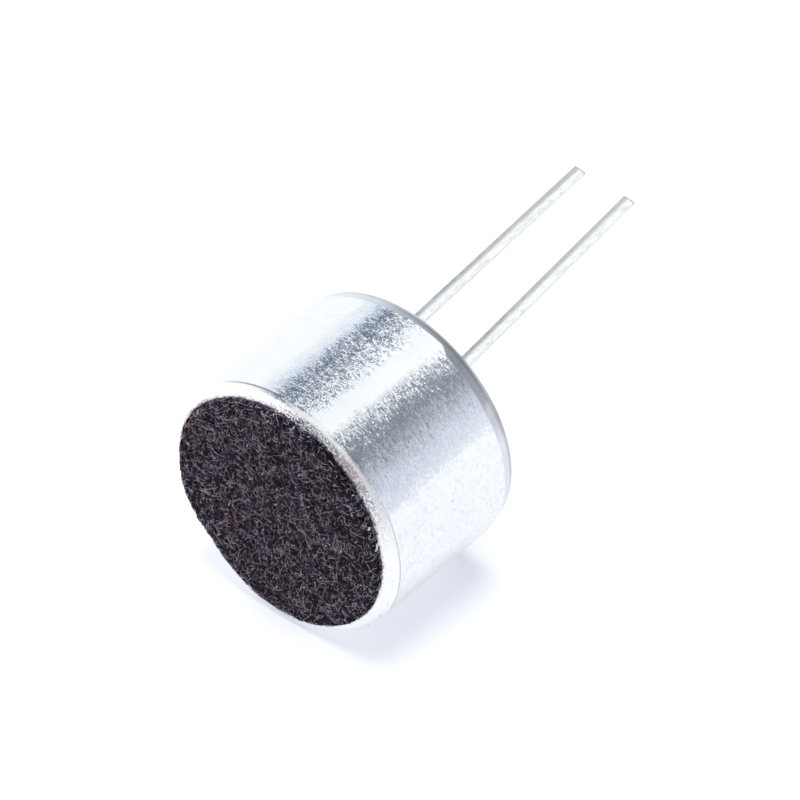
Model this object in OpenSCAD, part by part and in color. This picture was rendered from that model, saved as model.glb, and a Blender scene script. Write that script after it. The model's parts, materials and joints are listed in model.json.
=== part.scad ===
// Electret microphone capsule with two flat leads.
// The capsule's axis lies along Y: the felt front faces -Y and the leads point to +Y.
// The origin is the centre of the rear seating plane, the flat of the rolled lip. Millimetres.

/* [Can] */
// Outer diameter of the can
can_d = 9.7; // [9:0.1:11]
// Length of the metal can, from its front face to the rear seating plane
can_length = 6.4; // [5.5:0.05:8]
// Sheet thickness of the can
can_wall = 0.3; // [0.24:0.02:0.36]
// Outer radius of the drawn front corner
front_corner_r = 0.2; // [0.1:0.02:0.3]
// Length of the crimped zone at the rear, from the crease to the seating plane
crimp_length = 0.8; // [0.75:0.05:1]
// Angle at which the crimped zone leans in
crimp_angle = 15; // [10:1:20]
// Outer radius of the roll at the rear
crimp_r = 0.55; // [0.3:0.05:0.6]
// How far the rolled lip reaches in from the can's outer wall
lip_reach = 1.1; // [1:0.05:1.3]

/* [Sound holes] */
// Diameter of each sound hole in the front wall
sound_hole_d = 0.8; // [0.5:0.05:1]
// Number of sound holes around the middle one
sound_hole_count = 6; // [3:1:8]
// Diameter of the circle that the outer sound holes lie on
sound_hole_circle_d = 4; // [3:0.1:5]

/* [Dust felt] */
// Width of the bare metal rim left around the felt
felt_margin = 0.5; // [0.35:0.05:0.8]
// Thickness of the felt
felt_t = 0.15; // [0.1:0.05:0.6]
// Thickness of the adhesive under the felt
adhesive_t = 0.05; // [0.03:0.01:0.1]
// Distance of the adhesive ring in from the felt's edge
adhesive_inset = 0.25; // [0.1:0.05:0.4]
// Radial width of the adhesive ring
adhesive_width = 1.2; // [0.8:0.1:1.6]
// Sideways offset of the stuck felt
felt_shift_x = -0.15; // [-0.25:0.01:0.25]
// Upward offset of the stuck felt
felt_shift_z = -0.23; // [-0.25:0.01:0.25]

/* [Transducer stack] */
// Radial clearance between the stack and the can
stack_clearance = 0.05; // [0.02:0.01:0.08]
// Thickness of the diaphragm ring
ring_t = 0.5; // [0.3:0.05:0.8]
// Radial width of the diaphragm ring
ring_width = 0.8; // [0.6:0.05:1]
// Thickness of the diaphragm film
film_t = 0.025; // [0.02:0.005:0.05]
// Thickness of the spacer washer, which is the air gap
spacer_t = 0.05; // [0.03:0.01:0.1]
// Radial width of the spacer washer
spacer_width = 0.75; // [0.65:0.05:0.9]
// Thickness of the charged film on the back plate
electret_t = 0.025; // [0.02:0.005:0.05]
// Thickness of the back plate
plate_t = 0.3; // [0.2:0.05:0.5]
// Diameter of each hole in the back plate
plate_hole_d = 0.6; // [0.4:0.05:0.8]
// Number of holes in the back plate
plate_hole_count = 6; // [4:1:8]
// Diameter of the circle that the back plate's holes lie on
plate_hole_circle_d = 4.5; // [4:0.1:5]
// Wall of the moulded chamber
chamber_wall = 0.45; // [0.35:0.05:0.55]
// Radial clearance of the back plate and gate ring inside the chamber
chamber_clearance = 0.05; // [0.02:0.01:0.08]
// Wall of the gate ring
gate_ring_wall = 0.4; // [0.3:0.05:0.5]

/* [Circuit board] */
// Thickness of the board
board_t = 0.8; // [0.6:0.1:1]
// Radial clearance of the board inside the crimp
board_clearance = 0.02; // [0.01:0.01:0.05]
// Thickness of the copper
copper_t = 0.05; // [0.035:0.005:0.07]
// Width of the copper traces
trace_w = 0.5; // [0.3:0.05:0.7]
// Diameter of the plugged vias
via_d = 0.4; // [0.3:0.05:0.5]
// Distance of each via from the middle plane, sideways
via_x = 2.1; // [2:0.05:2.3]
// Width of the copper rim under the lip
rim_width = 0.5; // [0.45:0.05:0.6]
// Number of spokes from the ground pad to the copper rim
spoke_count = 3; // [1:1:3]
// Angle between neighbouring spokes
spoke_step = 32; // [25:1:38]

/* [Transistor] */
// Length of the moulded body, across the capsule
fet_length = 2.9; // [2.7:0.05:3.1]
// Width of the moulded body
fet_width = 1.3; // [1.2:0.05:1.5]
// Height of the moulded body
fet_height = 1; // [0.85:0.05:1.1]
// Gap between the body and the copper plane
fet_standoff = 0.05; // [0.03:0.01:0.1]
// Distance between the tips of the feet on opposite sides
fet_span = 2.4; // [2.3:0.05:2.6]
// Distance between the two feet on one side
fet_pitch = 1.9; // [1.8:0.05:2]
// Width of each leg
fet_leg_w = 0.4; // [0.3:0.05:0.5]
// Thickness of each leg
fet_leg_t = 0.12; // [0.1:0.01:0.15]
// Width of each foot's copper pad
fet_pad_w = 0.8; // [0.7:0.05:0.9]

/* [Leads] */
// Width of the flat lead
lead_w = 0.43; // [0.38:0.01:0.5]
// Thickness of the flat lead at its middle
lead_t = 0.18; // [0.15:0.01:0.2]
// Radius of the crown on the lead's two wide faces
lead_crown_r = 1; // [0.8:0.1:3]
// How far each lead is turned about its own length, in degrees
lead_turn = 11; // [-15:1:15]
// Distance between the two leads at the board
lead_pitch = 2.54; // [2.2:0.02:2.6]
// Height of the row of leads above the capsule's axis
lead_rise = 1.6; // [1.2:0.1:1.8]
// Length of the leads behind the seating plane
lead_length = 11; // [3:0.05:14]
// How far the output lead leans from the capsule's axis, in degrees
output_lean = 3.1; // [0:0.1:5]
// Direction in which the output lead leans, in degrees from +X towards +Z
output_lean_towards = 134; // [90:1:180]
// How far the ground lead leans from the capsule's axis, in degrees
ground_lean = 4.5; // [0:0.1:5]
// Direction in which the ground lead leans, in degrees from +X towards +Z
ground_lean_towards = 156; // [90:1:180]
// Length of the lead's foot, which is bent over onto its pad
foot_length = 0.5; // [0.4:0.02:0.6]
// Diameter of the lead's solder cone on its pad
solder_d = 1.7; // [1.5:0.05:1.8]
// Height of the lead's solder cone
solder_h = 0.5; // [0.45:0.01:0.6]
// Thickness of the solder beside the lead at the top of the cone
solder_collar = 0.08; // [0.06:0.01:0.12]
// Thickness of the solder at the foot of the cone
solder_edge = 0.05; // [0.03:0.01:0.08]
// Bare copper left around the solder cone
pad_margin = 0.12; // [0.05:0.01:0.2]

/* [Hidden] */

$fn = 96;
// Overlap that lets a cut pass cleanly through a face
cut = 0.5;

// Radii across the axis
can_r = can_d / 2;
bore_r = can_r - can_wall;
lip_r = can_r - lip_reach;
felt_r = can_r - felt_margin;
adhesive_r = felt_r - adhesive_inset;
stack_r = bore_r - stack_clearance;
chamber_bore_r = stack_r - chamber_wall;
plate_r = chamber_bore_r - chamber_clearance;
gate_ring_bore_r = plate_r - gate_ring_wall;

// Depths along the axis, measured from the front metal face
crease = can_length - crimp_length;
ring_front = can_wall;
film_front = ring_front + ring_t;
spacer_front = film_front + film_t;
electret_front = spacer_front + spacer_t;
plate_front = electret_front + electret_t;
gate_ring_front = plate_front + plate_t;
lip_inner = can_length - can_wall;
board_rear = lip_inner - copper_t;
board_front = board_rear - board_t;
copper_front = board_front - copper_t;

// The crimp's inner wall runs parallel to its outer wall
inner_crease = crease - can_wall * tan(crimp_angle / 2);
crimp_bore_r = bore_r - (lip_inner - inner_crease) * tan(crimp_angle);
board_r = crimp_bore_r - board_clearance;

// Centre of the roll's arc, which touches the leaning wall and the seating plane
roll_depth = can_length - crimp_r;
roll_r = can_r + ((crease - roll_depth) * sin(crimp_angle) - crimp_r) / cos(crimp_angle);
// Radius at which the leaning wall ends, just inside the roll so that they join cleanly
roll_join_r = crimp_r - 0.002;
roll_join = [
    roll_r + roll_join_r * cos(crimp_angle), roll_depth + roll_join_r * sin(crimp_angle)
];

// Places on the board, as [across, up]
output_place = [-lead_pitch / 2, lead_rise];
ground_place = [lead_pitch / 2, lead_rise];
foot_rise = fet_span / 2;
drain_place = [-fet_pitch / 2, -foot_rise];
source_place = [fet_pitch / 2, -foot_rise];
gate_place = [0, foot_rise];
output_via = [-via_x, -foot_rise];
ground_via = [via_x, -foot_rise];
pad_d = solder_d + 2 * pad_margin;

// Transistor depths and leg bends
fet_rear = copper_front - fet_standoff;
fet_front = fet_rear - fet_height;
leg_exit = (fet_front + fet_rear) / 2;
foot_depth = copper_front - fet_leg_t / 2;
leg_root = fet_width / 4;
leg_bend = fet_width / 2 + fet_leg_t;
foot_bend = leg_bend + fet_leg_t;
foot_end = foot_rise - fet_leg_t / 2;

// Solder at each foot: its reach past the toe, its depth over the foot and its width
joint_reach = 0.25;
joint_cover = 0.03;
joint_w = (fet_leg_w + fet_pad_w) / 2;

// Puts flat shapes across the axis at a depth from the front metal face
module at_depth(depth) {
    translate([0, depth - can_length, 0])
        rotate([-90, 0, 0])
            children();
}

// A point in a shape that lies across the axis, from [across, up]
function plan(place) = [place[0], -place[1]];

// A disc or washer between two depths
module washer(outer_r, inner_r, front, rear) {
    at_depth(front)
        difference() {
            cylinder(r = outer_r, h = rear - front);
            translate([0, 0, -cut])
                cylinder(r = inner_r, h = rear - front + 2 * cut);
        }
}

// Holes evenly spaced on a circle, through everything from a depth
module hole_circle(count, circle_d, hole_d, front, length) {
    at_depth(front)
        for (i = [0 : count - 1])
            rotate([0, 0, i * 360 / count])
                translate([circle_d / 2, 0, 0])
                    cylinder(d = hole_d, h = length);
}

// A round-ended strip between two points of a flat shape
module strip(from, to, width) {
    run = to - from;
    translate(from) {
        circle(d = width);
        rotate([0, 0, atan2(run[1], run[0])])
            translate([0, -width / 2])
                square([norm(run), width]);
    }
    translate(to)
        circle(d = width);
}

// The can's filled half section, as [radius, depth]
module can_outline() {
    difference() {
        union() {
            polygon([
                [0, 0], [can_r, 0], [can_r, crease], roll_join,
                [roll_r, roll_depth], [roll_r, can_length], [0, can_length]
            ]);
            translate([roll_r, roll_depth])
                circle(r = crimp_r);
        }
        translate([can_r - front_corner_r, -cut])
            difference() {
                square([front_corner_r + cut, front_corner_r + cut]);
                translate([0, front_corner_r + cut])
                    circle(r = front_corner_r);
            }
    }
}

// The hollow inside the can and the opening in its lip, as [radius, depth]
module can_hollow() {
    polygon([
        [0, can_wall], [bore_r, can_wall], [bore_r, inner_crease],
        [crimp_bore_r, lip_inner], [0, lip_inner]
    ]);
    difference() {
        translate([0, lip_inner - cut])
            square([lip_r + can_wall / 2, can_wall + 2 * cut]);
        translate([lip_r + can_wall / 2, lip_inner + can_wall / 2])
            circle(d = can_wall);
    }
}

module can() {
    color("silver")
        difference() {
            at_depth(0)
                rotate_extrude()
                    difference() {
                        can_outline();
                        can_hollow();
                    }
            at_depth(-cut)
                cylinder(d = sound_hole_d, h = can_wall + 2 * cut);
            hole_circle(
                sound_hole_count, sound_hole_circle_d, sound_hole_d, -cut, can_wall + 2 * cut
            );
        }
}

module dust_felt() {
    color([0.13, 0.12, 0.14])
        translate([felt_shift_x, 0, felt_shift_z])
            at_depth(-adhesive_t - felt_t)
                cylinder(r = felt_r, h = felt_t);
}

module felt_adhesive() {
    color([0.75, 0.68, 0.6])
        translate([felt_shift_x, 0, felt_shift_z])
            washer(adhesive_r, adhesive_r - adhesive_width, -adhesive_t, 0);
}

module diaphragm_ring() {
    color("goldenrod")
        washer(stack_r, stack_r - ring_width, ring_front, film_front);
}

module diaphragm() {
    color([0.85, 0.86, 0.88])
        at_depth(film_front)
            cylinder(r = stack_r, h = film_t);
}

module spacer() {
    color([0.9, 0.9, 0.85])
        washer(stack_r, stack_r - spacer_width, spacer_front, electret_front);
}

// A disc with the back plate's outline and holes
module plate_layer(front, rear) {
    difference() {
        at_depth(front)
            cylinder(r = plate_r, h = rear - front);
        hole_circle(
            plate_hole_count, plate_hole_circle_d, plate_hole_d, front - cut, rear - front + 2 * cut
        );
    }
}

module electret_film() {
    color([0.8, 0.85, 0.9])
        plate_layer(electret_front, plate_front);
}

module back_plate() {
    color("goldenrod")
        plate_layer(plate_front, gate_ring_front);
}

module chamber() {
    color([0.92, 0.92, 0.9])
        washer(stack_r, chamber_bore_r, electret_front, board_front);
}

module gate_ring() {
    color("goldenrod")
        washer(plate_r, gate_ring_bore_r, gate_ring_front, copper_front);
}

module vias(front, length, places) {
    at_depth(front)
        for (place = places)
            translate(plan(place))
                cylinder(d = via_d, h = length);
}

module circuit_board() {
    color([0.1, 0.35, 0.2])
        difference() {
            at_depth(board_front)
                cylinder(r = board_r, h = board_t);
            vias(board_front - cut, board_t + 2 * cut, [output_via, ground_via]);
        }
}

// A transistor foot's pad, as a flat shape
module foot_pad(place) {
    translate(plan(place))
        square(fet_pad_w, center = true);
}

module gate_copper() {
    color([0.8, 0.5, 0.3])
        at_depth(copper_front)
            linear_extrude(copper_t) {
                difference() {
                    circle(r = plate_r);
                    circle(r = gate_ring_bore_r);
                }
                foot_pad(gate_place);
                strip(plan(gate_place), plan([0, gate_ring_bore_r]), trace_w);
            }
}

// The copper of one net on the board's inner side and through its via
module inner_net(foot, via) {
    at_depth(copper_front)
        linear_extrude(copper_t) {
            foot_pad(foot);
            strip(plan(foot), plan(via), trace_w);
        }
    vias(copper_front, copper_t + board_t + copper_t, [via]);
}

// The copper of one net on the board's rear side, as a flat shape
module rear_net(via, lead) {
    strip(plan(via), plan(lead), trace_w);
    translate(plan(lead))
        circle(d = pad_d);
}

module output_copper() {
    color([0.8, 0.5, 0.3]) {
        inner_net(drain_place, output_via);
        at_depth(board_rear)
            linear_extrude(copper_t)
                rear_net(output_via, output_place);
    }
}

module ground_copper() {
    spoke_r = board_r - rim_width / 2;
    first_spoke = atan2(ground_place[1], ground_place[0]) - spoke_step * (spoke_count - 1) / 2;
    color([0.8, 0.5, 0.3]) {
        inner_net(source_place, ground_via);
        at_depth(board_rear)
            linear_extrude(copper_t) {
                rear_net(ground_via, ground_place);
                difference() {
                    circle(r = board_r);
                    circle(r = board_r - rim_width);
                }
                for (i = [0 : spoke_count - 1]) {
                    angle = first_spoke + i * spoke_step;
                    strip(plan(ground_place), plan(spoke_r * [cos(angle), sin(angle)]), trace_w);
                }
            }
    }
}

// Lays a [depth, up] profile along a leg and gives it a width across the capsule
module leg_profile(width) {
    translate([-width / 2, -can_length, 0])
        rotate([90, 0, 90])
            linear_extrude(width)
                children();
}

// Turns an upper leg into the place of a leg on either side
module at_foot(place) {
    translate([place[0], 0, 0])
        rotate([0, place[1] > 0 ? 0 : 180, 0])
            children();
}

// A gull-wing leg on the upper side, from inside the body to its foot on the copper
module leg(width) {
    bends = [
        [leg_exit, leg_root], [leg_exit, leg_bend], [foot_depth, foot_bend], [foot_depth, foot_end]
    ];
    leg_profile(width)
        for (i = [0 : len(bends) - 2])
            strip(bends[i], bends[i + 1], fet_leg_t);
}

module fet_gate_lead() {
    color("lightgray")
        at_foot(gate_place)
            leg(fet_leg_w);
}

module fet_drain_lead() {
    color("lightgray")
        at_foot(drain_place)
            leg(fet_leg_w);
}

module fet_source_lead() {
    color("lightgray")
        at_foot(source_place)
            leg(fet_leg_w);
}

module fet_body() {
    color([0.15, 0.15, 0.16])
        difference() {
            translate([-fet_length / 2, fet_front - can_length, -fet_width / 2])
                cube([fet_length, fet_height, fet_width]);
            for (place = [gate_place, drain_place, source_place])
                at_foot(place)
                    leg(fet_leg_w);
        }
}

module fet_solder() {
    joint_top = copper_front - fet_leg_t - joint_cover;
    color("lightgray")
        for (place = [gate_place, drain_place, source_place])
            at_foot(place)
                difference() {
                    leg_profile(joint_w)
                        polygon([
                            [copper_front, foot_bend], [joint_top, foot_bend + joint_cover],
                            [joint_top, foot_rise], [copper_front, foot_rise + joint_reach]
                        ]);
                    leg(fet_leg_w);
                }
}

// Places a lead's parts on its pad, along the capsule's axis
module on_pad(place) {
    translate([place[0], 0, place[1]])
        at_depth(lip_inner)
            children();
}

// A lead's section, a strip whose two wide faces are slightly crowned
module lead_section() {
    crown = lead_crown_r - lead_t / 2;
    intersection() {
        square([lead_w, lead_t], center = true);
        translate([0, crown])
            circle(r = lead_crown_r);
        translate([0, -crown])
            circle(r = lead_crown_r);
    }
}

// A flat lead with its foot on its pad, which leans from the capsule's axis above the foot
module lead(place, lean, towards) {
    on_pad(place)
        rotate([0, 0, lead_turn])
            translate([-lead_w / 2, -lead_t / 2, 0])
                cube([lead_w, foot_length, lead_t]);
    translate([place[0], lip_inner + lead_t / 2 - can_length, place[1]])
        rotate([0, -towards, 0])
            rotate([0, 0, -lean])
                rotate([0, towards + lead_turn, 0])
                    rotate([-90, 0, 0])
                        linear_extrude((lead_length + can_wall - lead_t / 2) / cos(lean))
                            lead_section();
}

module output_lead() {
    lead(output_place, output_lean, output_lean_towards);
}

module ground_lead() {
    lead(ground_place, ground_lean, ground_lean_towards);
}

// A solder cone whose side is a hollow arc, level with its pad below and steep at the lead
module solder_cone(place) {
    foot_r = solder_d / 2;
    run = foot_r - lead_w / 2 - solder_collar;
    rise = solder_h - solder_edge;
    hollow_r = (run * run + rise * rise) / (2 * rise);
    on_pad(place)
        rotate_extrude()
            difference() {
                square([foot_r, solder_h]);
                translate([foot_r, solder_edge + hollow_r])
                    circle(r = hollow_r);
            }
}

module pin_output() {
    color("gainsboro")
        output_lead();
}

module pin_ground() {
    color("gainsboro")
        ground_lead();
}

module solder_output() {
    color("silver")
        difference() {
            solder_cone(output_place);
            output_lead();
        }
}

module solder_ground() {
    color("silver")
        difference() {
            solder_cone(ground_place);
            ground_lead();
        }
}

can();
dust_felt();
felt_adhesive();
diaphragm_ring();
diaphragm();
spacer();
electret_film();
back_plate();
chamber();
gate_ring();
circuit_board();
gate_copper();
output_copper();
ground_copper();
fet_body();
fet_gate_lead();
fet_drain_lead();
fet_source_lead();
fet_solder();
pin_output();
pin_ground();
solder_output();
solder_ground();
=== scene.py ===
"""Looks of an electret microphone capsule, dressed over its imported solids. Lengths are in metres."""

import json
import math
import random
from types import SimpleNamespace

import bpy
import numpy as np
from mathutils import Matrix, Vector


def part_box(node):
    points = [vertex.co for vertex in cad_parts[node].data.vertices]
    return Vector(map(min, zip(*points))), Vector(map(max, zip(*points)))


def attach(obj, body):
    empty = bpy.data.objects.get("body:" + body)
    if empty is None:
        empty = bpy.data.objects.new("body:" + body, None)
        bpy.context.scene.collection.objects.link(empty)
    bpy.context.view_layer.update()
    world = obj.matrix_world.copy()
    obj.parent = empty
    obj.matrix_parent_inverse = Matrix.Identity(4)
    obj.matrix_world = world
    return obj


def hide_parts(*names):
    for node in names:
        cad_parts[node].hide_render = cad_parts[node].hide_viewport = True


MM = 0.001
BODY = "root"

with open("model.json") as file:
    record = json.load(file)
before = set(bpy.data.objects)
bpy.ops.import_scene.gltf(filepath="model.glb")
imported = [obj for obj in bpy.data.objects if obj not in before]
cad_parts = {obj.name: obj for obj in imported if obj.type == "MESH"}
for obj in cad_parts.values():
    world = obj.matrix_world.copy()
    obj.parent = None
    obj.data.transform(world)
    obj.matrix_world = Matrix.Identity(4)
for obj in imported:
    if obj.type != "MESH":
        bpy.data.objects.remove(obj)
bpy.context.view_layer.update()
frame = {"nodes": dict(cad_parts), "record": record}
nodes = frame["nodes"]

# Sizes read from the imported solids
can_low, can_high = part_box("can")
CAN_R = can_high.x
CAN_FRONT = can_low.y
FLOOR_Z = -CAN_R
LEAD_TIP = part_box("pin_ground")[1].y
felt_low, felt_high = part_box("dust_felt")
FELT_R = (felt_high.x - felt_low.x) / 2
FELT_X = (felt_high.x + felt_low.x) / 2
FELT_Z = (felt_high.z + felt_low.z) / 2
FELT_FRONT = felt_low.y
FELT_BACK = felt_high.y


# Camera

IMAGE_PIXELS = 800
# Where the centre of the can's front lands, from the image's top left corner
FRONT_CENTRE_PIXEL = (284.74, 508.91)
FOCAL_PIXELS = 12056.9
VIEW_AZIMUTH = math.radians(40.49)
VIEW_ELEVATION = math.radians(44.41)
VIEW_DISTANCE = 0.4
CLIP_START = VIEW_DISTANCE / 10
SENSOR_WIDTH = 36


def add_camera():
    """A long lens turned so that the centre of the can's front lands on its pixel."""
    level = math.cos(VIEW_ELEVATION)
    back = Vector(
        (math.sin(VIEW_AZIMUTH) * level, -math.cos(VIEW_AZIMUTH) * level, math.sin(VIEW_ELEVATION))
    )
    right = Vector((math.cos(VIEW_AZIMUTH), math.sin(VIEW_AZIMUTH), 0))
    up = back.cross(right)
    place = Vector((0, CAN_FRONT, 0)) + back * VIEW_DISTANCE
    across = IMAGE_PIXELS / 2 - FRONT_CENTRE_PIXEL[0]
    above = FRONT_CENTRE_PIXEL[1] - IMAGE_PIXELS / 2
    turned_back = (back * FOCAL_PIXELS - right * across - up * above).normalized()
    turned_right = (right - turned_back * right.dot(turned_back)).normalized()
    turned_up = turned_back.cross(turned_right)
    data = bpy.data.cameras.new("camera")
    data.sensor_width = SENSOR_WIDTH
    data.lens = FOCAL_PIXELS * SENSOR_WIDTH / IMAGE_PIXELS
    data.clip_start = CLIP_START
    camera = bpy.data.objects.new("camera", data)
    turn = Matrix((turned_right, turned_up, turned_back)).transposed()
    camera.matrix_world = Matrix.Translation(place) @ turn.to_4x4()
    bpy.context.scene.collection.objects.link(camera)
    bpy.context.scene.camera = camera


# Shader helpers

# Nearly all of a noise's values lie between these
NOISE_LOW = 0.3
NOISE_HIGH = 0.7
MIDDLE_GREY = (0.5, 0.5, 0.5)
# Sockets of a Mix node that mixes colours
MIX_FACTOR = 0
MIX_FIRST = 6
MIX_SECOND = 7
MIX_RESULT = 2


def add(tree, kind, inputs=None, **settings):
    """A new node, with its settings, and with its inputs set to values or linked to sockets."""
    node = tree.nodes.new(kind)
    for name, value in settings.items():
        setattr(node, name, value)
    for name, value in (inputs or {}).items():
        if isinstance(value, bpy.types.NodeSocket):
            tree.links.new(value, node.inputs[name])
        else:
            node.inputs[name].default_value = value
    return node


def math_node(tree, operation, first, second=0.0):
    return add(tree, "ShaderNodeMath", {0: first, 1: second}, operation=operation).outputs[0]


def product(tree, first, *others):
    for other in others:
        first = math_node(tree, "MULTIPLY", first, other)
    return first


def vector_node(tree, operation, first, second=(0, 0, 0)):
    return add(tree, "ShaderNodeVectorMath", {0: first, 1: second}, operation=operation).outputs[0]


def noise(tree, vector, size, detail=2.0):
    """Smooth noise whose lumps are about as large as a size in metres."""
    inputs = {"Vector": vector, "Scale": 1 / size, "Detail": detail}
    return add(tree, "ShaderNodeTexNoise", inputs).outputs["Fac"]


def ramp(tree, factor, stops):
    """A colour ramp from (position, colour) stops."""
    node = add(tree, "ShaderNodeValToRGB", {"Fac": factor})
    elements = node.color_ramp.elements
    while len(elements) < len(stops):
        elements.new(position=0.5)
    for element, (position, colour) in zip(elements, stops):
        element.position = position
        element.color = (*colour, 1)
    return node.outputs["Color"]


def map_range(tree, value, low, high, to_low=0.0, to_high=1.0, smooth=False):
    inputs = {
        "Value": value, "From Min": low, "From Max": high, "To Min": to_low, "To Max": to_high
    }
    kind = "SMOOTHSTEP" if smooth else "LINEAR"
    return add(tree, "ShaderNodeMapRange", inputs, interpolation_type=kind).outputs["Result"]


def between(tree, share, start, end):
    """A number that goes from start to end as a share goes from 0 to 1."""
    return map_range(tree, share, 0.0, 1.0, start, end)


def by_noise(tree, value, start, end):
    """A number that goes from start to end with a noise's values."""
    return map_range(tree, value, NOISE_LOW, NOISE_HIGH, start, end)


def noise_ramp(tree, value, dark, light):
    """A colour that goes from dark to light with a noise's values."""
    return ramp(tree, value, [(NOISE_LOW, dark), (NOISE_HIGH, light)])


def around_axis(tree, turn, stops):
    """A colour ramp by an angle, from (degrees, colour) stops that run from -180 to 180."""
    share = map_range(tree, turn, -math.pi, math.pi)
    return ramp(tree, share, [((angle + 180) / 360, colour) for angle, colour in stops])


def level_around(tree, turn, stops):
    """A level by an angle, from (degrees, level) stops that run from -180 to 180."""
    return around_axis(tree, turn, [(angle, (level,) * 3) for angle, level in stops])


def bell(tree, value, middle, reach):
    """1 where a value is at the middle, falling smoothly to 0 at a distance from it."""
    away = math_node(tree, "ABSOLUTE", math_node(tree, "SUBTRACT", value, middle))
    return map_range(tree, away, reach, 0.0, smooth=True)


def mix_colour(tree, factor, first, second, blend="MIX"):
    node = add(tree, "ShaderNodeMix", data_type="RGBA", blend_type=blend)
    for index, value in ((MIX_FACTOR, factor), (MIX_FIRST, first), (MIX_SECOND, second)):
        if isinstance(value, bpy.types.NodeSocket):
            tree.links.new(value, node.inputs[index])
        else:
            node.inputs[index].default_value = value if index == MIX_FACTOR else (*value, 1)
    return node.outputs[MIX_RESULT]


def start_material(name, metallic=0.0):
    """A material with its node tree, its shader and the object's own coordinates."""
    material = bpy.data.materials.new(name)
    material.use_nodes = True
    tree = material.node_tree
    shader = tree.nodes["Principled BSDF"]
    shader.inputs["Metallic"].default_value = metallic
    place = add(tree, "ShaderNodeTexCoord").outputs["Object"]
    return material, tree, shader, place


def bumped(tree, height, distance):
    inputs = {"Height": height, "Strength": 1.0, "Distance": distance}
    return add(tree, "ShaderNodeBump", inputs).outputs["Normal"]


def connect(tree, shader, **links):
    """Links sockets to the shader's inputs, named with _ for a space."""
    for name, socket in links.items():
        tree.links.new(socket, shader.inputs[name.replace("_", " ")])


def flakes(tree, vector, size, strength):
    """Small facets, each tilted its own way and most of them only a little, to add to a normal."""
    cells = add(tree, "ShaderNodeTexVoronoi", {"Vector": vector, "Scale": 1 / size}).outputs["Color"]
    tilt = vector_node(tree, "SUBTRACT", cells, MIDDLE_GREY)
    tilt = vector_node(tree, "MULTIPLY", tilt, vector_node(tree, "ABSOLUTE", tilt))
    return vector_node(tree, "MULTIPLY", tilt, strength)


# Stage: a pale floor, a soft light from above and a light tent with two darker gaps

LAMP_LEVEL = 0.6
LAMP_SPREAD = math.radians(34)
# Lean of the lamp from straight above, about X and about Y
LAMP_TIP = math.radians(-2)
LAMP_TURN = math.radians(0.5)
# Colour and glow of the floor to the camera, and in reflections
FLOOR_SEEN = ((0.8, 0.8, 0.8), (0.4, 0.42, 0.48))
FLOOR_REFLECTED = ((0.46, 0.46, 0.46), (0.58, 0.6, 0.64))
FLOOR_SIZE = 3.0
FLOOR_CORNERS = ((-1, -1), (1, -1), (1, 1), (-1, 1))
# Level of the soft surround, which is brightest ahead of the felt on its left. It changes while the
# cosine of the angle to that direction is between minus and plus DOME_COSINE.
DOME_TOWARDS = (-0.64, -0.77, 0.0)
DOME_BRIGHT = 0.85
DOME_DIM = 0.05
DOME_COSINE = 0.7
# Brightness of the tent by angle about the can's axis, from overhead towards +X, in degrees
TENT = [
    (-180, (1.12, 1.12, 1.12)),
    (-100, (1.1, 1.11, 1.12)),
    (-66, (1.06, 1.09, 1.1)),
    (-54, (0.84, 0.9, 1.0)),
    (-44, (0.38, 0.43, 0.53)),
    (-34, (0.09, 0.11, 0.15)),
    (-22, (0.45, 0.5, 0.57)),
    (-11, (1.0, 1.05, 1.08)),
    (11, (1.08, 1.1, 1.1)),
    (22, (0.42, 0.47, 0.54)),
    (34, (0.2, 0.22, 0.26)),
    (46, (0.37, 0.39, 0.44)),
    (60, (0.56, 0.6, 0.68)),
    (74, (0.7, 0.76, 0.85)),
    (92, (0.88, 0.93, 1.0)),
    (106, (1.0, 1.03, 1.08)),
    (128, (0.98, 1.0, 1.04)),
    (150, (0.93, 0.96, 1.02)),
    (180, (1.0, 1.0, 1.0)),
]
# The same behind the leads, where the tent is open
TENT_BEHIND = [
    (-180, (1.0, 1.02, 1.08)),
    (-97, (1.0, 1.05, 1.12)),
    (-76, (0.8, 0.85, 0.92)),
    (-54, (0.55, 0.59, 0.64)),
    (-30, (0.5, 0.54, 0.58)),
    (-4, (0.43, 0.46, 0.5)),
    (23, (0.36, 0.38, 0.41)),
    (52, (0.43, 0.45, 0.49)),
    (79, (0.52, 0.55, 0.6)),
    (104, (0.72, 0.76, 0.82)),
    (130, (1.0, 1.02, 1.08)),
    (180, (1.0, 1.02, 1.08)),
]
# The tent opens while the Y of a direction is between these
OPEN_FROM = 0.6
OPEN_TO = 0.75


def floor_surface(tree, shade, glow, strength):
    """A matt colour with a glow of its own, which keeps shadows soft."""
    matt = add(tree, "ShaderNodeBsdfDiffuse", {"Color": (*shade, 1)})
    light = add(tree, "ShaderNodeEmission", {"Color": (*glow, 1), "Strength": strength})
    return add(tree, "ShaderNodeAddShader", {0: matt.outputs[0], 1: light.outputs[0]}).outputs[0]


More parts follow.
